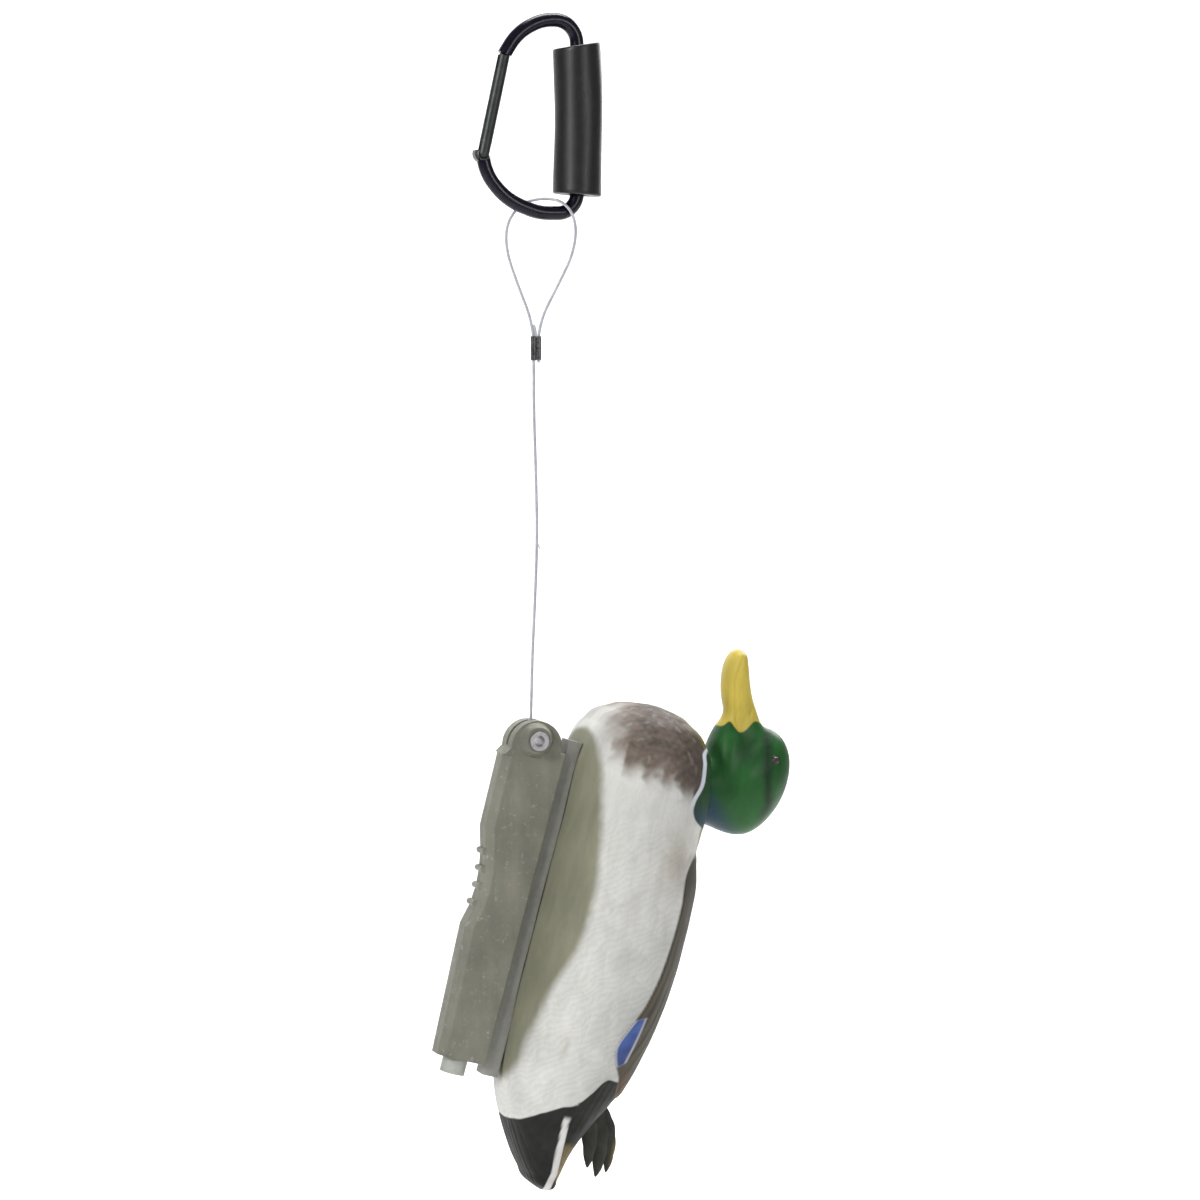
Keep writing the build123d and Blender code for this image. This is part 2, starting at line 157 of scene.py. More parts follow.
# ---------------------------------------------------------------- materials
class Surface:
    """A Principled material with a few helpers for procedural colour, roughness and bump."""

    def __init__(self, name, roughness=0.5, metallic=0.0, **sockets):
        self.mat = bpy.data.materials.new(name)
        self.mat.use_nodes = True
        self.tree = self.mat.node_tree
        self.shader = self.tree.nodes["Principled BSDF"]
        self.shader.inputs["Roughness"].default_value = roughness
        self.shader.inputs["Metallic"].default_value = metallic
        for key, value in sockets.items():
            self.shader.inputs[key.replace("_", " ")].default_value = value
        coords = self.node("ShaderNodeTexCoord")
        self.where = coords.outputs["Object"]
        self.last_normal = None

    def node(self, kind, **settings):
        n = self.tree.nodes.new(kind)
        for key, value in settings.items():
            setattr(n, key, value)
        return n

    def link(self, a, b):
        self.tree.links.new(a, b)

    def noise(self, scale, detail=4.0, rough=0.55, stretch=None, distortion=0.0):
        n = self.node("ShaderNodeTexNoise")
        n.inputs["Scale"].default_value = scale
        n.inputs["Detail"].default_value = detail
        n.inputs["Roughness"].default_value = rough
        n.inputs["Distortion"].default_value = distortion
        if stretch:
            m = self.node("ShaderNodeMapping")
            m.inputs["Scale"].default_value = stretch
            self.link(self.where, m.inputs["Vector"])
            self.link(m.outputs["Vector"], n.inputs["Vector"])
        else:
            self.link(self.where, n.inputs["Vector"])
        return n.outputs["Fac"]

    def ramp(self, fac, stops):
        r = self.node("ShaderNodeValToRGB")
        elements = r.color_ramp.elements
        while len(elements) < len(stops):
            elements.new(0.5)
        for element, (place, colour) in zip(elements, stops):
            element.position = place
            element.color = (*colour, 1)
        self.link(fac, r.inputs["Fac"])
        return r.outputs["Color"]

    def mix(self, kind, fac, a, b):
        m = self.node("ShaderNodeMix", data_type="RGBA", blend_type=kind)
        if isinstance(fac, float):
            m.inputs[0].default_value = fac
        else:
            self.link(fac, m.inputs[0])
        for socket, value in ((m.inputs[6], a), (m.inputs[7], b)):
            if isinstance(value, tuple):
                socket.default_value = (*value, 1)
            else:
                self.link(value, socket)
        return m.outputs[2]

    def span(self, fac, low, high, start=0.0, end=1.0):
        m = self.node("ShaderNodeMapRange")
        for key, value in (("From Min", start), ("From Max", end), ("To Min", low), ("To Max", high)):
            m.inputs[key].default_value = value
        self.link(fac, m.inputs["Value"])
        return m.outputs["Result"]

    def colour(self, socket):
        self.link(socket, self.shader.inputs["Base Color"])

    def roughness(self, fac, low, high):
        self.link(self.span(fac, low, high, 0.3, 0.7), self.shader.inputs["Roughness"])

    def bump(self, height, distance, strength=1.0):
        b = self.node("ShaderNodeBump")
        b.inputs["Distance"].default_value = distance
        b.inputs["Strength"].default_value = strength
        self.link(height, b.inputs["Height"])
        if self.last_normal is not None:
            self.link(self.last_normal, b.inputs["Normal"])
        self.last_normal = b.outputs["Normal"]
        self.link(self.last_normal, self.shader.inputs["Normal"])

    def soft_edges(self, radius):
        n = self.node("ShaderNodeBevel", samples=6)
        n.inputs["Radius"].default_value = radius
        self.last_normal = n.outputs["Normal"]
        self.link(self.last_normal, self.shader.inputs["Normal"])


def mottled(name, dark, light, roughness, scale, bump_mm, edges=None, metallic=0.0, **sockets):
    """A surface whose colour, roughness and height vary together at two scales."""
    s = Surface(name, roughness, metallic, **sockets)
    if edges:
        s.soft_edges(edges)
    broad = s.noise(scale * 0.22, 3.0)
    fine = s.noise(scale, 6.0, 0.6)
    both = s.mix("MIX", 0.45, broad, fine)
    s.colour(s.ramp(both, [(0.3, dark), (0.7, light)]))
    s.roughness(fine, roughness - 0.08, roughness + 0.1)
    s.bump(fine, bump_mm / 1000)
    return s


def anodised():
    s = mottled("anodised", (0.0015, 0.001, 0.005), (0.005, 0.003, 0.014), 0.22, 220, 0.012, 0.0004)
    s.shader.inputs["Specular IOR Level"].default_value = 0.3
    return s.mat


def gate_metal():
    s = mottled("gate_metal", (0.018, 0.022, 0.020), (0.045, 0.052, 0.048), 0.42, 700, 0.03, 0.0004, 0.5)
    return s.mat


def foam():
    s = mottled("foam_grip", (0.004, 0.004, 0.0045), (0.010, 0.010, 0.011), 0.40, 900, 0.10)
    s.shader.inputs["Specular IOR Level"].default_value = 0.45
    return s.mat


def metal(name, dark, light, roughness):
    s = mottled(name, dark, light, roughness, 500, 0.03, 0.0003, 1.0)
    return s.mat


def cord_plastic():
    s = mottled("coated_line", (0.30, 0.31, 0.34), (0.52, 0.53, 0.57), 0.33, 500, 0.05)
    return s.mat


def moulded_keel():
    s = Surface("keel_plastic", 0.55)
    s.soft_edges(0.0011)
    broad = s.noise(26, 4.0, 0.6)
    fine = s.noise(420, 5.0, 0.65)
    streak = s.noise(70, 4.0, 0.6, (1.0, 1.0, 0.16))
    base = s.ramp(broad, [(0.3, (0.150, 0.150, 0.122)), (0.7, (0.215, 0.212, 0.170))])
    streaked = s.ramp(streak, [(0.35, (0.72, 0.72, 0.70)), (0.65, (1.12, 1.1, 1.05))])
    base = s.mix("MULTIPLY", 0.5, base, streaked)
    scuff = s.ramp(s.noise(160, 8.0, 0.75), [(0.57, (0, 0, 0)), (0.70, (0.6, 0.6, 0.55))])
    base = s.mix("ADD", 0.25, base, scuff)
    s.colour(base)
    s.roughness(fine, 0.48, 0.68)
    s.bump(s.noise(48, 3.0), 0.0009)
    s.bump(fine, 0.00016)
    return s.mat


def moulded_rail():
    s = mottled("rail_plastic", (0.215, 0.215, 0.195), (0.30, 0.30, 0.275), 0.5, 300, 0.10, 0.0008)
    return s.mat


def plug_plastic():
    s = mottled("plug_plastic", (0.27, 0.29, 0.26), (0.40, 0.42, 0.38), 0.5, 380, 0.10, 0.0008)
    return s.mat


def painted(name, roughness, relief):
    """Paint over moulded feathers: the mesh carries the pattern, the nodes its grain."""
    s = Surface(name, roughness, Specular_IOR_Level=0.22)
    attribute = s.node("ShaderNodeAttribute", attribute_name="paint")
    where = s.node("ShaderNodeAttribute", attribute_name="swim")
    s.where = where.outputs["Vector"]
    base = attribute.outputs["Color"]
    cloud = s.ramp(s.noise(24, 5.0, 0.6), [(0.3, (0.86, 0.86, 0.87)), (0.7, (1.06, 1.055, 1.04))])
    base = s.mix("MULTIPLY", 0.55, base, cloud)
    comb = s.noise(95, 6.0, 0.7, (0.30, 1.0, 1.0), 0.8)
    combed = s.ramp(comb, [(0.36, (0.78, 0.77, 0.75)), (0.6, (1.05, 1.05, 1.05))])
    base = s.mix("MULTIPLY", 0.45, base, combed)
    speck = s.ramp(s.noise(520, 3.0, 0.8), [(0.30, (0.70, 0.69, 0.66)), (0.42, (1, 1, 1))])
    base = s.mix("MULTIPLY", 0.30, base, speck)
    s.colour(base)
    s.roughness(comb, roughness - 0.09, roughness + 0.12)
    s.bump(comb, relief / 1000)
    s.bump(s.noise(700, 3.0, 0.7), 0.00006)
    return s


def head_paint():
    s = painted("head_paint", 0.40, 0.25)
    s.shader.inputs["Coat Weight"].default_value = 0.06
    s.shader.inputs["Coat Roughness"].default_value = 0.35
    return s.mat


# ---------------------------------------------------------------- meshes
def add_mesh(name, verts, faces, body, material, paint=None, swim=None):
    """A new mesh object that rides on a body."""
    mesh = bpy.data.meshes.new(name)
    mesh.from_pydata([tuple(v) for v in verts], [], faces)
    mesh.validate()
    obj = bpy.data.objects.new(name, mesh)
    bpy.context.collection.objects.link(obj)
    finish_mesh(obj, body, material, paint, swim)
    return obj


def finish_mesh(obj, body, material, paint=None, swim=None):
    """Smooths, dresses and registers a mesh; paint and swim are its colour and place at each point."""
    mesh = obj.data
    bm = bmesh.new()
    bm.from_mesh(mesh)
    bmesh.ops.recalc_face_normals(bm, faces=bm.faces)
    bm.to_mesh(mesh)
    bm.free()
    mesh.polygons.foreach_set("use_smooth", [True] * len(mesh.polygons))
    mesh.materials.clear()
    mesh.materials.append(material)
    if paint is not None:
        layer = mesh.color_attributes.new("paint", "FLOAT_COLOR", "POINT")
        rgba = np.ones((len(paint), 4), np.float32)
        rgba[:, :3] = paint
        layer.data.foreach_set("color", rgba.ravel())
    if swim is not None:
        layer = mesh.attributes.new("swim", "FLOAT_VECTOR", "POINT")
        layer.data.foreach_set("vector", (np.asarray(swim, np.float32) / 1000).ravel())
    mesh.update()
    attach(obj, body)


def grid_faces(rows, columns, cap=True):
    """Faces of a tube of rings, closed at both ends when cap is set."""
    faces = []
    for i in range(rows - 1):
        for j in range(columns):
            k = (j + 1) % columns
            faces.append((i * columns + j, i * columns + k, (i + 1) * columns + k, (i + 1) * columns + j))
    if cap:
        faces.append(tuple(range(columns))[::-1])
        faces.append(tuple((rows - 1) * columns + j for j in range(columns)))
    return faces


def through(table, x):
    """Smooth values between the rows of a table whose first column is x."""
    table = np.array(table, float)
    xs, out = table[:, 0], []
    for c in range(1, table.shape[1]):
        y = table[:, c]
        slope = np.gradient(y, xs)
        i = np.clip(np.searchsorted(xs, x) - 1, 0, len(xs) - 2)
        h = xs[i + 1] - xs[i]
        t = (x - xs[i]) / h
        out.append((1 + 2 * t) * (1 - t) ** 2 * y[i] + t * (1 - t) ** 2 * h * slope[i]
                   + t * t * (3 - 2 * t) * y[i + 1] + t * t * (t - 1) * h * slope[i + 1])
    return out


def along(edge, x):
    """A smooth edge line, held at its ends."""
    return through(edge, np.clip(x, edge[0][0], edge[-1][0]))[0]


# x, belly z, back z, half width, z of the widest line
HULL = [
    (-46.5, 84, 92, 4, 88), (-45, 74, 101, 16, 88), (-38, 55.5, 118, 38, 86), (-24, 43, 133, 56, 84),
    (0, 37.6, 141, 69, 82), (40, 37.4, 143.5, 80, 83), (90, 37.4, 147.5, 84, 86), (150, 37.4, 147.5, 81, 88),
    (205, 38.2, 141, 68, 91), (245, 42, 131, 51, 93), (270, 49, 119, 39, 92), (295, 62, 109, 30, 92),
    (315, 77, 104, 25, 95), (324, 86, 101.5, 20, 97), (326.5, 92, 99, 13, 97),
]
# Edges of the paint: x and side height for olive, wing and ring; side height and x for breast and rump.
OLIVE_EDGE = [
    (-24, 30), (-14, 45), (3, 54), (31, 62), (60, 69), (87, 73.5), (139, 71.6), (172, 61.5), (211, 54),
    (247, 46), (262, 36),
]
BREAST_EDGE = [(37, -40), (48, -17), (67, 0), (79, 6), (99, 7), (115, 10), (124, 15), (132, 22), (150, 26)]
RUMP_EDGE = [
    (30, 276), (39, 277.5), (52, 279), (64, 275), (91, 259), (103, 253), (109.5, 244), (117, 232),
    (128, 231), (150, 238),
]
WING_EDGE = [
    (52, 140), (67, 137), (92, 139), (125, 138.5), (155, 135), (174, 130), (190, 123), (205.5, 118),
    (215, 120), (227, 126), (243, 128), (262, 131),
]
RING_EDGE = [
    (-36, 146), (-30, 138), (-23, 131), (-13.5, 132.6), (2, 134), (15, 130.5), (22, 130.5), (28, 134),
    (36, 146),
]

CREAM = np.array([0.60, 0.60, 0.575])
OLIVE = np.array([0.215, 0.213, 0.150])
BROWN = np.array([0.062, 0.047, 0.039])
BROWN_LIGHT = np.array([0.205, 0.165, 0.138])
BLACK = np.array([0.011, 0.011, 0.0095])
WING = np.array([0.050, 0.042, 0.029])
BLUE = np.array([0.045, 0.085, 0.270])
BACK_WARM = np.array([0.36, 0.31, 0.25])
FLANK_SMUDGE = np.array([0.32, 0.29, 0.22])
BREAST_FLECK = np.array([0.42, 0.38, 0.34])
# Pale gold of the painted rim reflection along the body's outline.
RIM_REFLECTION_GOLD = np.array([0.155, 0.135, 0.045])
NECK_GREEN = np.array([0.010, 0.050, 0.016])
GREEN_TO_BLUE = np.array([0.0, -0.01, 0.035])
COLLAR = np.array([0.62, 0.66, 0.74])
WING_BROWN = np.array([0.085, 0.055, 0.032])
WING_BAR = np.array([0.36, 0.37, 0.40])
TAIL_STRIPE = np.array([0.60, 0.59, 0.57])
TAIL_GOLD = np.array([0.15, 0.11, 0.045])


def lay(colour, mask, new):
    """New paint over old where the mask is one."""
    return colour * (1 - mask[:, None]) + new * mask[:, None]


def past_outline(p):
    """Millimetres past the line where the back turns away from the side view; negative on the flank."""
    _, top, half, widest = through(HULL, p[:, 0])
    line = 0.3366 * (half / np.maximum(top - widest, 1)) ** 2 * (p[:, 2] - widest)
    return np.where(p[:, 2] > widest, line - np.abs(p[:, 1]), -99)


def below_outline(p):
    """Millimetres a point lies inside the body's outline in the side view."""
    _, top, half, widest = through(HULL, p[:, 0])
    reach = np.hypot((top - widest) * math.cos(VIEW_SIDE), half * math.sin(VIEW_SIDE))
    return widest * math.cos(VIEW_SIDE) + reach - side_height(p)


def hull_paint(p):
    """The drake's plumage, by where a point lies on the body, with painted shade on the upper flank and a
    painted rim reflection along the outline.
    """
    x, z = p[:, 0], p[:, 2]
    high = side_height(p)
    past = past_outline(p)
    inward = below_outline(p)
    uneven = wobble(p, 7.0) + 0.6 * wobble(p, 2.6, 2)
    colour = np.tile(CREAM, (len(p), 1))
    # Flank grey: the random patches and the fine vermiculation are the drake's own grey. The rise towards the
    # tail and towards the back edge in the side view is partly its grey and partly painted shade.
    grey_and_shade = smooth(60, 190, x) * smooth(78, 128, high) * 0.24 + 0.10 * np.clip(wobble(p, 11, 4), 0, 1)
    grey_and_shade = grey_and_shade + 0.035 * np.sin(x * 1.1 + 5 * wobble(p, 6, 8) + 0.9 * high) * smooth(20, 60, x)
    colour *= (1 - grey_and_shade)[:, None]
    warm = np.exp(-((x - 62 - 4 * uneven) / 24) ** 2 - ((high - 127) / 12) ** 2) * 0.55
    colour = lay(colour, np.clip(warm, 0, 1), BACK_WARM)
    smudge = np.exp(-((x - 214) / 9) ** 2 - ((high - 82 - 2 * uneven) / 2.5) ** 2) * 0.35
    colour = lay(colour, np.clip(smudge, 0, 1), FLANK_SMUDGE)
    from_edge = x - along(BREAST_EDGE, high) - 4.0 * uneven
    brown = 1 - smooth(-13, 7, from_edge - 3 * np.sin(high / 2.3 + 2 * uneven))
    brown = brown * smooth(38, 72, high + 4 * uneven)
    tone = 0.18 + 0.22 * wobble(p, 4.5, 6) + 0.22 * wobble(p, 1.6, 7) + 0.55 * smooth(-34, 0, from_edge)
    tone = np.clip(tone * (1 - 0.65 * smooth(98, 132, high)) + 0.35 * (1 - smooth(60, 85, high)), 0, 1)
    colour = lay(colour, np.clip(brown, 0, 1), BROWN * (1 - tone[:, None]) + BROWN_LIGHT * tone[:, None])
    fleck = smooth(0.45, 0.85, wobble(p * np.array([0.45, 1, 1]), 2.3, 11)) * brown * 0.22
    colour = lay(colour, fleck, BREAST_FLECK)
    mantle = smooth(-1.5, 1.0, past) * (1 - smooth(44, 58, x))
    colour = lay(colour, mantle, BROWN * (1 + 0.3 * uneven)[:, None])
    # Painted rim reflection: a pale gold band just inside the body's outline as seen from the side.
    rim = (1 - smooth(1.2, 2.8, inward + 0.4 * uneven)) * (1 - smooth(2, 6, past))
    rim = rim * (1 - smooth(248, 262, x))
    colour = lay(colour, np.clip(rim * (0.75 + 0.2 * uneven), 0, 1), RIM_REFLECTION_GOLD)
    ring = along(RING_EDGE, x)
    inside = smooth(-0.8, 0.2, high - ring) * smooth(100, 112, z)
    colour = lay(colour, inside, NECK_GREEN + smooth(12, 26, x)[:, None] * GREEN_TO_BLUE)
    collar = smooth(-3.9, -3.0, high - ring) * (1 - smooth(-0.9, 0.0, high - ring))
    collar *= smooth(-40, -34, x) * (1 - smooth(16, 24, x)) * smooth(100, 112, z)
    colour = lay(colour, collar, COLLAR)
    olive_edge = along(OLIVE_EDGE, x) + 0.8 * uneven
    olive = 1 - smooth(-4.5, 4.5, high - olive_edge)
    olive *= smooth(-30, -14, x) * (1 - smooth(249, 262, x))
    colour = lay(colour, olive * 0.97, OLIVE * (1 + 0.10 * wobble(p, 14, 3))[:, None])
    wing = wing_mask(p, past)
    streak = np.clip(0.5 + 0.5 * np.sin(p[:, 1] * 0.9 + 0.02 * x), 0, 1) ** 2
    wing_colour = WING[None] * (1 + 0.5 * streak[:, None] * smooth(60, 140, x)[:, None])
    wing_colour = lay(wing_colour, smooth(218, 232, x), WING_BROWN)
    colour = colour * (1 - wing[:, None]) + wing_colour * wing[:, None]
    above = high - along(WING_EDGE, x)
    ends = smooth(181, 183, x + 0.6 * above) * (1 - smooth(219, 221, x + 0.6 * above))
    clear = smooth(7.0, 8.2, inward) * (1 - smooth(-2, 0, past)) * ends
    inner = smooth(1.4, 2.2, above) * smooth(8.6, 9.6, inward) * clear
    colour = lay(colour, smooth(0.0, 0.6, above) * clear, WING_BAR)
    colour = lay(colour, inner, BLUE * (1 + 0.4 * wobble(p, 5, 12))[:, None])
    rump = along(RUMP_EDGE, high) + 0.5 * uneven
    black = smooth(-0.8, 0.8, x - rump) * (1 - wing * (1 - smooth(243, 252, x)))
    colour = lay(colour, black, BLACK * (1 + 0.35 * wobble(p, 9, 5) + 0.25 * wobble(p, 2.4, 13))[:, None])
    stripe_middle = np.interp(x, (267, 285, 311, 326), (96.8, 97.5, 98.5, 95.5))
    stripe = 1 - smooth(1.9, 2.9, np.abs(high - stripe_middle))
    stripe *= smooth(264, 269, x)
    colour = lay(colour, stripe, TAIL_STRIPE)
    far = smooth(100.2, 101.4, high) * smooth(284, 292, x) * (1 - stripe)
    colour = lay(colour, far, TAIL_GOLD * (1 + 0.6 * uneven)[:, None])
    return np.clip(colour, 0.004, 1)


def wing_mask(p, past):
    """One on the folded wings and the back between them."""
    above = side_height(p) - along(WING_EDGE, p[:, 0])
    on_side = smooth(-0.7, 0.7, above)
    return np.maximum(on_side, smooth(-1.5, 0.5, past)) * smooth(50, 58, p[:, 0]) * smooth(88, 96, p[:, 2])


def hull_mesh():
    """The body as one dense skin over its sections, with the feathers raised and painted."""
    rows, columns = 470, 400
    x = np.linspace(HULL[0][0], HULL[-1][0], rows)
    x = np.sort(np.concatenate([x, np.linspace(-46.5, -38, 24)[1:-1]]))
    rows = len(x)
    low, high, half, widest = (v[:, None] for v in through(HULL, x))
    a = 2 * np.pi * (np.arange(columns) + 0.5) / columns - np.pi / 2
    c, s = np.cos(a)[None], np.sin(a)[None]
    up = s > 0
    power = np.where(up, 2 / 2.25, 2 / 3.0)
    reach = np.where(up, high - widest, widest - low)
    y = half * np.sign(c) * np.abs(c) ** power
    z = widest + reach * np.sign(s) * np.abs(s) ** power
    p = np.stack([np.broadcast_to(x[:, None], y.shape), y, z], -1).reshape(-1, 3)
    centre = np.stack([p[:, 0], np.zeros(len(p)), np.repeat(widest[:, 0], columns)], 1)
    out = p - centre
    out /= np.maximum(np.linalg.norm(out, axis=1), 1e-6)[:, None]
    grow = hull_relief(p)
    p = p + out * grow[:, None]
    p[:, 2] = np.where((p[:, 2] > 140.9) & (np.hypot(p[:, 0] - 4, p[:, 1]) < 30), 140.9, p[:, 2])
    obj = add_mesh("body", hung(p), grid_faces(rows, columns), "decoy", MATERIALS["plumage"],
                   hull_paint(p), p)
    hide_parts("body_shell")


def hull_relief(p):
    """Millimetres that the moulded feathers stand out of the smooth form."""
    x = p[:, 0]
    high = side_height(p)
    past = past_outline(p)
    wing = wing_mask(p, past) * (1 - smooth(240, 250, x))
    relief = 1.5 * wing
    scallop = 1 - np.abs(((x + 4 * np.sin(high / 5.5)) / 19) % 1 * 2 - 1)
    flank = smooth(70, 88, high) * (1 - wing) * smooth(20, 50, x) * (1 - smooth(225, 250, x))
    relief = relief + 0.45 * scallop ** 0.6 * flank
    breast = (1 - smooth(-6, 14, x)) * smooth(60, 80, high)
    relief = relief + 0.40 * np.abs(np.sin(x / 8.5 * np.pi + 1.4 * np.sin(high / 4.5))) ** 0.6 * breast
    quill = np.abs(np.sin(p[:, 1] / 7.5 * np.pi)) ** 0.5
    relief = relief + 0.7 * quill * wing * smooth(120, 180, x)
    tail = smooth(272, 290, x)
    relief = relief - 0.6 * tail * (1 - np.abs(np.sin(p[:, 1] / 6.0 * np.pi)) ** 0.6)
    comb = np.abs(np.sin((high + 0.25 * x) / 4.2 * np.pi)) ** 0.7
    relief = relief + 0.35 * comb * smooth(0.5, 1.5, x - along(RUMP_EDGE, high)) * (1 - tail) * (1 - wing)
    before_rump = along(RUMP_EDGE, high) - x
    relief = relief + 0.55 * smooth(-0.6, 0.6, before_rump) * smooth(200, 230, x) * (1 - wing)
    relief = relief + 0.30 * wobble(p, 13, 9) * smooth(-40, -20, x)
    relief = relief - 3.6 * np.exp(-((x - 54) / 17) ** 2) * smooth(98, 128, high)
    return relief


# ---------------------------------------------------------------- head
# z, middle x, half length, half width
HEAD = [
    (118, 4, 18.9, 18.9), (141.2, 4, 26.8, 25.8), (147, 3.4, 28, 26.2), (155, 1, 31.5, 27.4),
    (166, -5, 39.3, 28.6), (176, -8, 42.5, 29), (184, -10, 42.2, 28), (192, -12, 37.4, 24.6),
    (199, -14, 28.8, 19), (204, -15.5, 18, 12.5), (206.4, -16, 6, 4),
]
# x, lower z, upper z, half width
THROAT = [
    (-53, 144.5, 149, 7), (-50, 143, 153, 11), (-45, 141, 158, 15), (-38, 139.2, 164, 19),
    (-28, 138.2, 165, 22.5), (-16, 139.8, 162, 25), (-4, 142, 158, 25), (2, 145, 155, 22),
]
BILL = [
    (-30, 151, 182, 15), (-40, 148.5, 181.5, 15), (-50, 146, 177.5, 14), (-60, 142, 169.5, 13),
    (-70, 138, 162.5, 13), (-80, 135.8, 157.5, 13.8), (-90, 135.3, 153.5, 14), (-97, 136.6, 150.8, 12.6),
    (-101.5, 138.7, 148.8, 9), (-103.8, 141.5, 146.5, 3.5),
]
GREEN = np.array([0.007, 0.052, 0.012])
GREEN_LIGHT = np.array([0.020, 0.130, 0.024])
GREEN_DARK = np.array([0.008, 0.026, 0.010])
NAPE_BLUE = np.array([0.010, 0.038, 0.085])
BILL_YELLOW = np.array([0.56, 0.44, 0.075])
EYE_STRIPE = np.array([0.007, 0.022, 0.010])
BILL_RIDGE = np.array([0.075, 0.085, 0.035])
NOSTRIL = np.array([0.035, 0.04, 0.02])
BILL_SEAM = np.array([0.34, 0.25, 0.05])
# side height and x
BILL_EDGE = [
    (130, -44), (139, -45.5), (142, -49), (147, -46), (151.7, -43.2), (156, -46), (160, -53),
    (168, -53.5), (176, -57), (190, -62),
]
EYE = (-29.5, 23.5, 185.5)


def bill_seam_z(x):
    """Height of the line where the bill's halves meet."""
    return np.interp(-x, (44, 60, 80, 100), (153, 147.5, 141.2, 143))


def head_paint_colours(p):
    """The green head with its dark eye stripe and blue nape, and the yellow bill."""
    x, z = p[:, 0], p[:, 2]
    high = side_height(p)
    uneven = wobble(p, 6) + 0.5 * wobble(p, 2.2, 1)
    patch = np.clip(0.45 + 0.4 * wobble(p, 15, 2) + 0.12 * uneven, 0, 1)
    colour = GREEN[None] * (1 - patch[:, None]) + GREEN_LIGHT[None] * patch[:, None]
    cheek = np.exp(-((x + 32) / 15) ** 2 - ((high - 160) / 9) ** 2) * 0.75
    colour = lay(colour, np.clip(cheek, 0, 1), GREEN_DARK * 1.3)
    middle = np.interp(x, (-52, 6, 32), (172, 187, 182))
    band = np.exp(-((high - middle + 1.0 * uneven) / 4.2) ** 2) * smooth(-60, -48, x)
    band = band * (1 - smooth(6, 30, x)) * 0.9
    colour = lay(colour, np.clip(band, 0, 1), EYE_STRIPE)
    nape = smooth(10, 34, x + 0.9 * (158 - high) + 2 * uneven) * (1 - smooth(162, 182, high))
    colour = lay(colour, np.clip(nape, 0, 1) * 0.85, NAPE_BLUE)
    edge = along(BILL_EDGE, high)
    bill = 1 - smooth(-0.6, 0.6, x - edge)
    tint = BILL_YELLOW[None] * (1 + 0.10 * wobble(p, 9, 3))[:, None]
    ridge_z = np.interp(-x, (50, 60, 70, 80, 90, 97, 104), (177.5, 169.5, 162.5, 157.5, 153.5, 150.8, 146))
    ridge = smooth(-3.4, -0.6, z - ridge_z) * (1 - 0.2 * uneven)
    tint = lay(tint, np.clip(ridge * 0.85, 0, 1), BILL_RIDGE)
    nostril = np.exp(-((x + 60.5) / 3.6) ** 2 - ((high - 163.6) / 1.5) ** 2) * 1.3
    tint = lay(tint, np.clip(nostril, 0, 1), NOSTRIL)
    seam = np.exp(-((z - bill_seam_z(x)) / 0.5) ** 2) * 0.3
    tint = lay(tint, seam, BILL_SEAM)
    colour = lay(colour, bill, tint)
    return np.clip(colour, 0.004, 1)


def ellipse_tube(rows, columns, axis):
    """Points of stacked ellipses: rows are (place, centre, half a, half b) along z, or along x for a bill."""
    points = []
    for row in rows:
        for j in range(columns):
            a = 2 * math.pi * j / columns
            if axis == "z":
                z, x, half_x, half_y = row
                points.append((x + half_x * math.cos(a), half_y * math.sin(a), z))
            else:
                x, low, high, half = row
                power = 0.8
                y = half * math.copysign(abs(math.cos(a)) ** power, math.cos(a))
                points.append((x, y, (low + high) / 2 + (high - low) / 2 * math.sin(a)))
    return points


def finer(table, steps):
    """Rows read off a table at even steps between its ends."""
    xs = np.array([r[0] for r in table], float)
    if xs[0] > xs[-1]:
        flipped = finer([(-r[0], *r[1:]) for r in table], steps)
        return [(-r[0], *r[1:]) for r in flipped]
    x = np.linspace(xs[0], xs[-1], steps)
    return list(zip(x, *through(table, x)))


def melt(mesh, p, mask, times):
    """Points relaxed towards their neighbours where the mask is one, so that joined forms flow together."""
    edges = np.empty(len(mesh.edges) * 2, np.int32)
    mesh.edges.foreach_get("vertices", edges)
    a, b = edges.reshape(-1, 2).T
    count = np.bincount(a, minlength=len(p)) + np.bincount(b, minlength=len(p))
    for _ in range(times):
        sums = []
        for k in range(3):
            sums.append(np.bincount(a, p[b, k], len(p)) + np.bincount(b, p[a, k], len(p)))
        p = p + (np.stack(sums, 1) / count[:, None] - p) * (0.6 * mask[:, None])
    return p


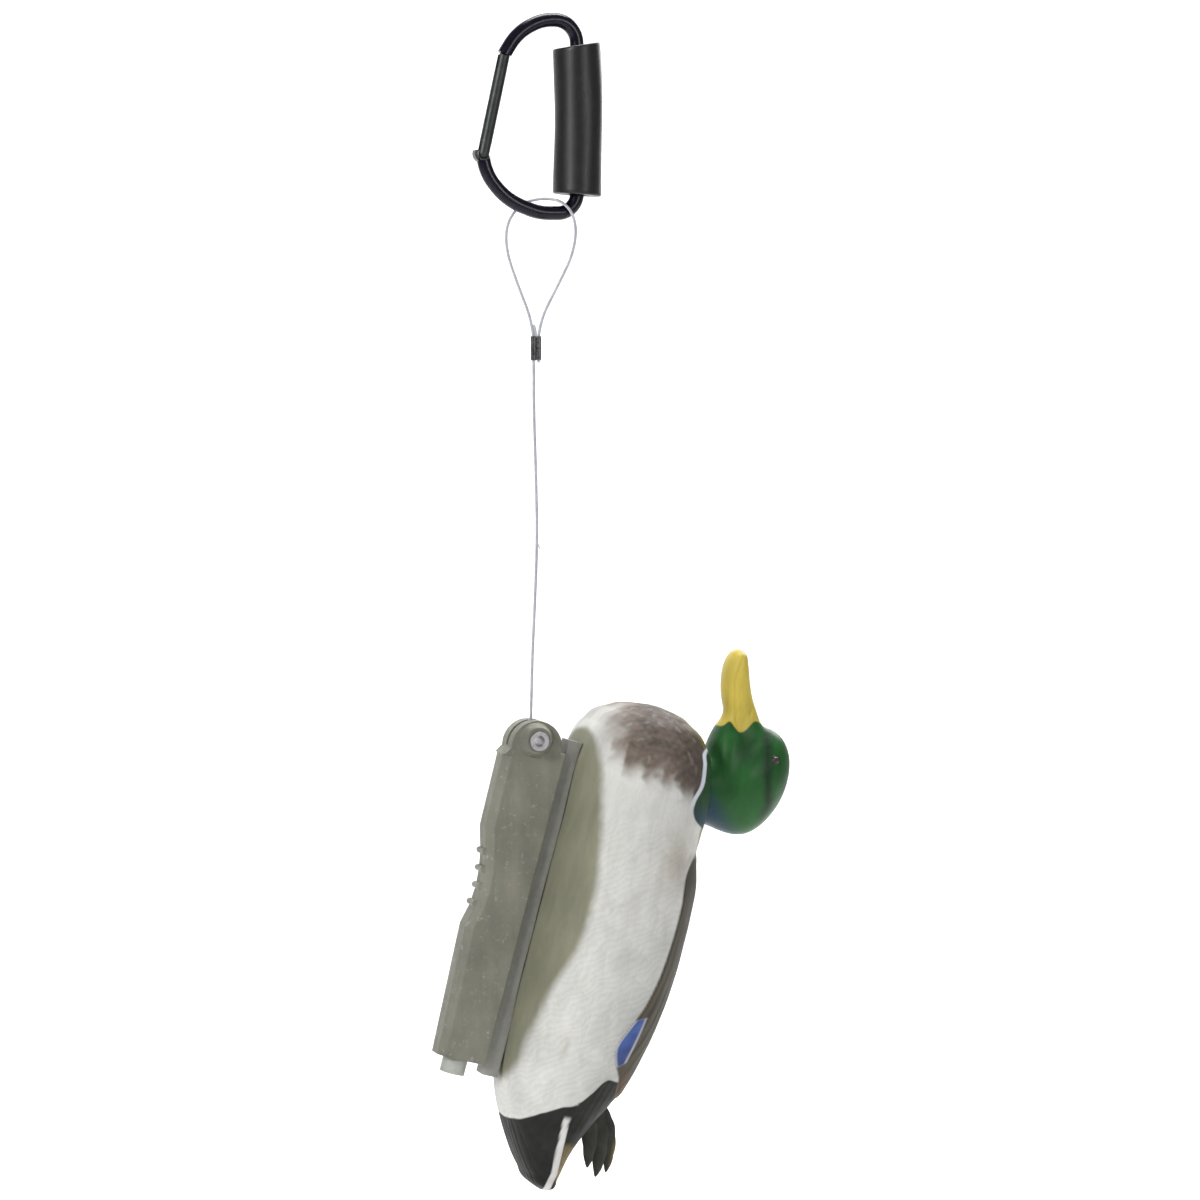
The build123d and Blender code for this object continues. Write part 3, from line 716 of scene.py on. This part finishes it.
def head_mesh():
    """Skull, throat and bill run together into one skin."""
    columns = 64
    skull = ellipse_tube(finer(HEAD, 80), columns, "z")
    beak = ellipse_tube(finer(BILL, 60), columns, "x")
    throat = ellipse_tube(finer(THROAT, 40), columns, "x")
    verts = skull + beak + throat
    faces = grid_faces(80, columns)
    faces += [tuple(i + len(skull) for i in f) for f in grid_faces(60, columns)]
    faces += [tuple(i + len(skull) + len(beak) for i in f) for f in grid_faces(40, columns)]
    mesh = bpy.data.meshes.new("head")
    mesh.from_pydata([tuple(v / 1000 for v in p) for p in verts], [], faces)
    obj = bpy.data.objects.new("head", mesh)
    bpy.context.collection.objects.link(obj)
    remesh = obj.modifiers.new("union", "REMESH")
    remesh.mode = "VOXEL"
    remesh.voxel_size = 0.0008
    soften = obj.modifiers.new("soften", "SMOOTH")
    soften.factor = 0.5
    soften.iterations = 9
    deps = bpy.context.evaluated_depsgraph_get()
    solid = bpy.data.meshes.new_from_object(obj.evaluated_get(deps))
    obj.modifiers.clear()
    obj.data = solid
    p = np.empty(len(solid.vertices) * 3, np.float32)
    solid.vertices.foreach_get("co", p)
    p = p.reshape(-1, 3).astype(float) * 1000
    p = melt(solid, p, smooth(-64, -54, p[:, 0]), 170)
    x, z = p[:, 0], p[:, 2]
    cheek = np.exp(-((x + 14) / 17) ** 2 - ((z - 166) / 10) ** 2)
    p[:, 1] += np.sign(p[:, 1]) * 1.2 * cheek * smooth(5, 20, np.abs(p[:, 1]))
    hole = np.exp(-((x + 60.5) / 3.0) ** 2 - ((z - 160.8) / 1.3) ** 2) * smooth(4, 8, np.abs(p[:, 1]))
    p[:, 1] -= np.sign(p[:, 1]) * 1.1 * hole
    groove = np.exp(-((z - bill_seam_z(x)) / 0.7) ** 2) * (1 - smooth(-52, -46, x))
    groove *= smooth(-100, -94, x) * smooth(4, 9, np.abs(p[:, 1]))
    p[:, 1] -= np.sign(p[:, 1]) * 0.35 * groove
    solid.vertices.foreach_set("co", hung(p).astype(np.float32).ravel())
    finish_mesh(obj, "head", MATERIALS["head"], head_paint_colours(p), p)
    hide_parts("head_shell")


def eye_mesh(side):
    """A domed glass-like eye in its rim, looking out and a little forward."""
    out = np.array([-0.35, side, 0.28])
    out /= np.linalg.norm(out)
    level = np.cross(out, [0, 0, 1.0])
    level /= np.linalg.norm(level)
    up = np.cross(level, out)
    centre = np.array([EYE[0], side * EYE[1], EYE[2]])
    profile = [
        (0.05, 2.6), (0.8, 2.5), (1.5, 2.2), (2.1, 1.7), (2.6, 1.0), (3.0, 0.5), (3.4, 0.7), (3.7, 0.3),
        (3.9, -1.4),
    ]
    columns = 40
    points = []
    for r, h in profile:
        for j in range(columns):
            a = 2 * math.pi * j / columns
            points.append(centre + out * (h - 0.3) + r * (level * math.cos(a) + up * math.sin(a)))
    p = np.array(points)
    name = "eye_left_dome" if side < 0 else "eye_right_dome"
    obj = add_mesh(name, hung(p), grid_faces(len(profile), columns), "head", MATERIALS["eye"])
    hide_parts("eye_left" if side < 0 else "eye_right")


# ---------------------------------------------------------------- tail curl
FEATHERS = [
    # place across, root, middle and tip as x and z, greatest half height
    (3.4, (256, 121), (270, 144), (306, 145.5), 6.4),
    (0.0, (255, 118), (278, 137), (310.5, 137), 6.8),
    (-3.4, (259, 114), (277, 125), (304.5, 127.5), 6.2),
]


def feather(across, root, middle, tip, half):
    """One lobe of the curl: a leaf-like vane on a bent shaft, combed towards its tip."""
    rows, columns = 90, 44
    root, middle, tip = (np.array(q, float) for q in (root, middle, tip))
    points = []
    for i in range(rows):
        t = i / (rows - 1)
        centre = (1 - t) ** 2 * root + 2 * t * (1 - t) * middle + t * t * tip
        shaft = 2 * (1 - t) * (middle - root) + 2 * t * (tip - middle)
        shaft /= np.linalg.norm(shaft)
        normal = np.array([-shaft[1], shaft[0]])
        end = max(0.0, 1 - max(0.0, (t - 0.72) / 0.28) ** 1.7)
        height = half * (0.72 + 0.28 * math.sin(math.pi * min(1.0, t * 1.3))) * end ** 0.75 + 0.25
        width = (4.6 - 2.6 * t) * end ** 0.5 + 0.25
        for j in range(columns):
            a = 2 * math.pi * j / columns
            barb = 0.28 * math.sin(5 * a + 26 * t) * min(1.0, 6 * t) * end
            spread = (height + barb) * math.sin(a)
            x, z = centre + normal * spread
            points.append((x, across + (width + barb) * math.cos(a), z))
    return np.array(points), grid_faces(rows, columns)


def tail_curl():
    """The drake's curled feathers, three lobes fanned over the tail."""
    verts, faces = [], []
    for row in FEATHERS:
        p, f = feather(*row)
        faces += [tuple(k + len(verts) for k in q) for q in f]
        verts += [tuple(v) for v in p]
    p = np.array(verts)
    dark = np.array([0.030, 0.031, 0.024])
    paint = dark[None] * (1 + 0.35 * wobble(p, 5, 2))[:, None]
    edge = smooth(143, 147, p[:, 2] - 0.1 * np.abs(p[:, 0] - 285)) * 0.8
    paint = lay(paint, edge, np.array([0.15, 0.11, 0.04]))
    obj = add_mesh("curl_feathers", hung(p), faces, "decoy", MATERIALS["plumage"], paint, p)
    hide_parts("tail_curl")


# ---------------------------------------------------------------- grip sleeve
def grip_sleeve():
    """Foam tube, bowed a little away from the gate, with ends cut slightly askew."""
    low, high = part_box("grip_sleeve")
    cx, top, length = 0.0195, high[2], high[2] - low[2]
    radius, bore = 0.0178, 0.0067
    rows, columns = 70, 96
    points = []

    def ring(t, r, inset):
        for j in range(columns):
            a = 2 * math.pi * j / columns
            slant = 0.0028 * math.cos(a) * (1 - 2 * t) if t < 0.5 else -0.0013 * math.cos(a) * (2 * t - 1)
            bow = 0.0011 * math.sin(math.pi * t)
            wave = 0.00022 * math.sin(3 * a + 7 * t) + 0.00018 * math.sin(9 * t + 2 * a)
            z = top - 0.0028 - inset + slant * (r / radius)
            z = z - t * (length - 0.0044 - 2 * inset)
            points.append((cx + bow + (r + wave) * math.cos(a), (r + wave) * math.sin(a), z))

    ring(0.0, bore, 0.0004)
    ring(0.0, (bore + radius) / 2, 0.0001)
    ring(0.0, radius - 0.0011, 0.0)
    ring(0.0, radius - 0.0003, 0.0004)
    for i in range(rows):
        ring(i / (rows - 1), radius, 0.0012)
    ring(1.0, radius - 0.0003, 0.0004)
    ring(1.0, radius - 0.0011, 0.0)
    ring(1.0, (bore + radius) / 2, 0.0001)
    ring(1.0, bore, 0.0004)
    count = len(points) // columns
    faces = grid_faces(count, columns, cap=False)
    for j in range(columns):
        k = (j + 1) % columns
        last = (count - 1) * columns
        faces.append((last + j, last + k, k, j))
    obj = add_mesh("foam_grip", points, faces, "sleeve", MATERIALS["foam"])
    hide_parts("grip_sleeve")


# ---------------------------------------------------------------- line
LINE_POINTS = [
    (-0.0168, 0, -0.514), (-0.0159, 0, -0.470), (-0.0132, 0, -0.420), (-0.0116, 0, -0.372),
    (-0.0129, 0, -0.322), (-0.0141, 0, -0.285), (-0.0143, 0, -0.253), (-0.0142, 0, -0.220),
    (-0.0265, 0.0015, -0.189), (-0.0345, 0.004, -0.164), (-0.0325, 0.0085, -0.144),
    (-0.021, 0.0095, -0.1295), (-0.006, 0.001, -0.1255), (0.008, -0.0080, -0.1290),
    (0.0165, -0.009, -0.144), (0.0155, -0.005, -0.166), (0.0045, -0.0015, -0.190), (-0.0107, 0, -0.219),
    (-0.01075, 0, -0.236),
]
LINE_R = 0.0011
UPPER_TAG = [(-0.0126, -0.0006, -0.2285), (-0.0135, -0.0012, -0.2235), (-0.0146, -0.0014, -0.2195)]
LOWER_TAG = [(-0.0107, 0, -0.2455), (-0.0103, -0.0002, -0.2478)]
STRAND = [(-0.0120, -0.0008, -0.381), (-0.0110, -0.0012, -0.3835), (-0.0098, -0.0010, -0.3865)]


def decoy_line():
    """The line from the decoy's eyelet to the loop round the carabiner, with its cut ends."""
    curve = bpy.data.curves.new("line", "CURVE")
    curve.dimensions = "3D"
    curve.resolution_u = 24
    curve.bevel_depth = LINE_R
    curve.bevel_resolution = 6
    curve.use_fill_caps = True
    spline = curve.splines.new("NURBS")
    spline.points.add(len(LINE_POINTS) - 1)
    for point, place in zip(spline.points, LINE_POINTS):
        point.co = (*place, 1)
    spline.order_u = 3
    spline.use_endpoint_u = True
    obj = bpy.data.objects.new("line", curve)
    bpy.context.collection.objects.link(obj)
    curve.materials.append(MATERIALS["cord"])
    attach(obj, "line")
    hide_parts("decoy_line")
    tags = [
        tag_end("tag_end_upper", UPPER_TAG, LINE_R * 0.92),
        tag_end("tag_end_lower", LOWER_TAG, LINE_R * 0.95),
        tag_end("frayed_strand", STRAND, LINE_R * 0.42),
    ]


def tag_end(name, places, radius):
    """A short cut end of the line, as a rounded stub along a few points."""
    columns = 14
    points = []
    path = [Vector(p) for p in places]
    fine = []
    for a, b in zip(path, path[1:]):
        fine += [a.lerp(b, k / 6) for k in range(6)]
    fine.append(path[-1])
    for i, p in enumerate(fine):
        tangent = (fine[min(i + 1, len(fine) - 1)] - fine[max(i - 1, 0)]).normalized()
        side = tangent.cross(Vector((0, 1, 0))).normalized()
        other = tangent.cross(side)
        r = radius * (0.72 if i == len(fine) - 1 else 1.0)
        for j in range(columns):
            a = 2 * math.pi * j / columns
            points.append(tuple(p + r * (side * math.cos(a) + other * math.sin(a))))
    return add_mesh(name, points, grid_faces(len(fine), columns), "line", MATERIALS["cord"])


# ---------------------------------------------------------------- CAD nodes that stay
def dress(node, material):
    """Gives a CAD node its material."""
    obj = bpy.data.objects[node]
    obj.data.materials.clear()
    obj.data.materials.append(material)


MATERIALS = {
    "anodised": anodised(),
    "gate": gate_metal(),
    "foam": foam(),
    "steel": metal("steel", (0.35, 0.35, 0.36), (0.62, 0.62, 0.63), 0.32),
    "crimp": metal("crimp_metal", (0.05, 0.05, 0.05), (0.20, 0.20, 0.205), 0.28),
    "eyelet": metal("eyelet_metal", (0.40, 0.39, 0.40), (0.66, 0.65, 0.66), 0.34),
    "cord": cord_plastic(),
    "keel": moulded_keel(),
    "rail": moulded_rail(),
    "plug": plug_plastic(),
    "plumage": painted("plumage", 0.58, 0.35).mat,
    "head": head_paint(),
    "eye": mottled("eye_gloss", (0.006, 0.004, 0.003), (0.035, 0.016, 0.008), 0.34, 260, 0.004).mat,
    "ballast": mottled("ballast_steel", (0.04, 0.04, 0.04), (0.10, 0.10, 0.10), 0.6, 300, 0.1).mat,
    "seal": mottled("seal_rubber", (0.012, 0.012, 0.012), (0.03, 0.03, 0.03), 0.6, 400, 0.05).mat,
    "bushing": mottled("bushing_plastic", (0.02, 0.02, 0.02), (0.06, 0.06, 0.06), 0.5, 400, 0.05).mat,
}
DRESSED = {
    "carabiner_body": "anodised", "gate_arm": "gate", "gate_pin": "gate", "latch_pin": "gate",
    "gate_plunger": "steel", "gate_spring": "steel", "crimp_sleeve": "crimp", "line_eye": "steel",
    "keel_shell_left": "keel", "keel_shell_right": "keel", "nose_eyelet": "eyelet", "keel_ballast": "ballast",
    "ballast_plug": "plug", "plug_seal": "seal", "keel_rail": "rail", "rail_screws": "steel",
    "neck_bushing": "bushing", "neck_clip": "steel",
}

camera()
for node_name, material_name in DRESSED.items():
    dress(node_name, MATERIALS[material_name])
decoy_line()
studio()
hull_mesh()
head_mesh()
for eye_side in (-1, 1):
    eye_mesh(eye_side)
tail_curl()
grip_sleeve()
